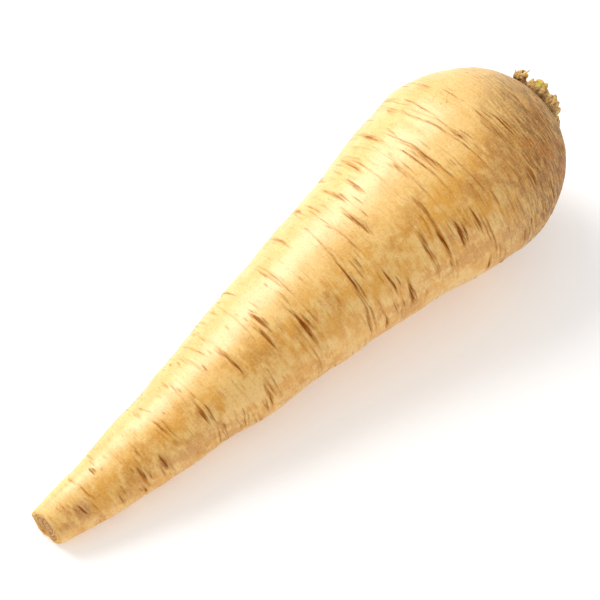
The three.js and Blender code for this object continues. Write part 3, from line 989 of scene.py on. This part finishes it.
class ParsnipTuft(bpy.types.PropertyGroup):
    """Sizes and colours of the stalk stubs and the shoot."""

    voxel: FloatProperty(
        name="Fineness", description="Cell size of a stub's mesh",
        default=0.26 * MM, min=0.1 * MM, max=2 * MM, precision=5, subtype="DISTANCE", unit="LENGTH",
    )
    torn: FloatProperty(
        name="Torn", description="How ragged the stubs' tops are",
        default=1.1 * MM, min=0, max=4 * MM, precision=5, subtype="DISTANCE", unit="LENGTH",
    )
    fibres: IntProperty(
        name="Fibres", description="Loose fibres on each stub", default=24, min=0, max=60
    )
    tan: colour_property("Tan", "Dry tissue", screen(246, 188, 104))
    pale: colour_property("Pale", "The torn tops", screen(255, 228, 158))
    rust: colour_property("Rust", "Browned tissue", screen(204, 124, 40))
    # Dark is mostly painted shade, down between the stubs, in their hollows and at the shoot's foot; it
    # also colours small dark specks.
    dark: colour_property("Dark", "Down between the stubs", screen(114, 60, 16))
    green: colour_property("Green", "The shoot's shaded ribs", screen(150, 160, 30))
    lime: colour_property("Lime", "The shoot's lit ribs and a living patch", screen(200, 200, 48))


class ParsnipStudio(bpy.types.PropertyGroup):
    """The camera, the lights and the floor."""

    lens: FloatProperty(
        name="Lens", description="Focal length in millimetres", default=100, min=20, max=300
    )
    azimuth: FloatProperty(
        name="Azimuth", description="How far the camera stands round the root from -Y",
        default=math.radians(-41.64), subtype="ANGLE", unit="ROTATION",
    )
    elevation: FloatProperty(
        name="Elevation", description="The camera's angle above the floor",
        default=math.radians(57), subtype="ANGLE", unit="ROTATION",
    )
    distance: FloatProperty(
        name="Distance", description="From the camera to the point it looks at",
        default=506.3 * MM, subtype="DISTANCE", unit="LENGTH", precision=4,
    )
    aim: FloatVectorProperty(
        name="Aim", description="What the camera looks at, from the middle of the root's box",
        default=(1.6 * MM, 3.7 * MM, -14.5 * MM), subtype="TRANSLATION", unit="LENGTH", precision=4,
    )
    key_power: FloatProperty(
        name="Key light", description="Power of the large soft light, in watts",
        default=7.3, min=0, max=200,
    )
    sky: FloatProperty(
        name="Sky", description="Brightness of the white surroundings", default=0.7, min=0, max=5
    )
    glow: FloatProperty(
        name="Floor glow", description="Light the floor gives off, which softens the shadow",
        default=0.22, min=0, max=2,
    )
    floor: colour_property("Floor", "The floor's colour", (0.93, 0.93, 0.93))


# ---- Operators ----
class PARSNIP_OT_taproot(bpy.types.Operator):
    """Adds the creased root, with its cut tip and the dish of its crown"""

    bl_idname = "parsnip.taproot"
    bl_label = "Add root"

    def execute(self, context):
        skin = context.scene.parsnip_skin
        root = spun_root(skin)
        weather_root(root, skin)
        finish_piece(root, skin_material(skin), "root_skin", "taproot")
        return {"FINISHED"}


class PARSNIP_OT_stalk_stubs(bpy.types.Operator):
    """Adds the two rings of dried stalk stubs in the crown's dish"""

    bl_idname = "parsnip.stalk_stubs"
    bl_label = "Add stalk stubs"

    def execute(self, context):
        tuft = context.scene.parsnip_tuft
        material = dry_stalk_material(tuft)
        for number, node in enumerate(OUTER_STUBS + INNER_STUBS):
            finish_piece(stalk_stub(node, tuft, SEED + number), material, "dry_stalk", node)
        return {"FINISHED"}


class PARSNIP_OT_green_shoot(bpy.types.Operator):
    """Adds the living shoot in the middle of the crown"""

    bl_idname = "parsnip.green_shoot"
    bl_label = "Add green shoot"

    def execute(self, context):
        tuft = context.scene.parsnip_tuft
        finish_piece(green_shoot(tuft), green_shoot_material(tuft), "green_shoot", "green_shoot")
        return {"FINISHED"}


def add_floor(studio):
    """A wide floor under the root."""
    shape = bmesh.new()
    bmesh.ops.create_grid(shape, x_segments=FLOOR_SQUARES, y_segments=FLOOR_SQUARES, size=FLOOR_SIZE)
    floor = to_object(shape, "floor")
    floor.data.materials.append(floor_material(studio))


def add_key_light(studio):
    """A square soft light that faces the root's middle."""
    light = bpy.data.lights.new("key", "AREA")
    light.size = KEY_SIZE
    light.energy = studio.key_power
    lamp = bpy.data.objects.new("key", light)
    bpy.context.scene.collection.objects.link(lamp)
    towards = Vector(KEY_DIRECTION).normalized()
    middle = (CAD_BOX[0] + CAD_BOX[1]) / 2
    lamp.location = middle + towards * KEY_DISTANCE
    lamp.rotation_mode = "QUATERNION"
    lamp.rotation_quaternion = towards.to_track_quat("Z", "Y")


def add_camera(studio):
    """The camera, looking down on the root from its tip's side."""
    camera = bpy.data.objects.new("camera", bpy.data.cameras.new("camera"))
    bpy.context.scene.collection.objects.link(camera)
    camera.data.lens = studio.lens
    camera.data.clip_start = NEAREST_SEEN
    camera.data.clip_end = FARTHEST_SEEN
    level = math.cos(studio.elevation)
    sideways = math.sin(studio.azimuth) * level
    back = Vector((sideways, -math.cos(studio.azimuth) * level, math.sin(studio.elevation)))
    aim = (CAD_BOX[0] + CAD_BOX[1]) / 2 + Vector(studio.aim)
    camera.location = aim + back * studio.distance
    camera.rotation_mode = "QUATERNION"
    camera.rotation_quaternion = (-back).to_track_quat("-Z", "Y")
    bpy.context.scene.camera = camera


def set_sky(studio):
    """Plain white surroundings."""
    world = bpy.data.worlds.new("studio")
    world.use_nodes = True
    background = world.node_tree.nodes["Background"]
    background.inputs["Color"].default_value = (1, 1, 1, 1)
    background.inputs["Strength"].default_value = studio.sky
    bpy.context.scene.world = world
    bpy.context.scene.view_settings.view_transform = "Standard"


class PARSNIP_OT_stage(bpy.types.Operator):
    """Adds the floor, the lights and the camera"""

    bl_idname = "parsnip.stage"
    bl_label = "Add studio"

    def execute(self, context):
        studio = context.scene.parsnip_studio
        add_floor(studio)
        add_key_light(studio)
        add_camera(studio)
        set_sky(studio)
        return {"FINISHED"}


class PARSNIP_PT_panel(bpy.types.Panel):
    """Lists the operators and their settings"""

    bl_label = "Parsnip"
    bl_idname = "PARSNIP_PT_panel"
    bl_space_type = "VIEW_3D"
    bl_region_type = "UI"
    bl_category = "Parsnip"

    def draw(self, context):
        layout = self.layout
        groups = (
            (context.scene.parsnip_skin, (PARSNIP_OT_taproot,)),
            (context.scene.parsnip_tuft, (PARSNIP_OT_stalk_stubs, PARSNIP_OT_green_shoot)),
            (context.scene.parsnip_studio, (PARSNIP_OT_stage,)),
        )
        for settings, operators in groups:
            box = layout.box()
            for name in settings.__annotations__:
                box.prop(settings, name)
            for operator in operators:
                box.operator(operator.bl_idname)


OPERATORS = (PARSNIP_OT_taproot, PARSNIP_OT_stalk_stubs, PARSNIP_OT_green_shoot, PARSNIP_OT_stage)
CLASSES = (ParsnipSkin, ParsnipTuft, ParsnipStudio, *OPERATORS, PARSNIP_PT_panel)


def register():
    for made in CLASSES:
        bpy.utils.register_class(made)
    bpy.types.Scene.parsnip_skin = PointerProperty(type=ParsnipSkin)
    bpy.types.Scene.parsnip_tuft = PointerProperty(type=ParsnipTuft)
    bpy.types.Scene.parsnip_studio = PointerProperty(type=ParsnipStudio)


def unregister():
    del bpy.types.Scene.parsnip_studio
    del bpy.types.Scene.parsnip_tuft
    del bpy.types.Scene.parsnip_skin
    for made in reversed(CLASSES):
        bpy.utils.unregister_class(made)


def main():
    """Builds the whole parsnip and its studio."""
    register()
    bpy.ops.parsnip.taproot()
    bpy.ops.parsnip.stalk_stubs()
    bpy.ops.parsnip.green_shoot()
    bpy.ops.parsnip.stage()


if __name__ == "__main__":
    main()
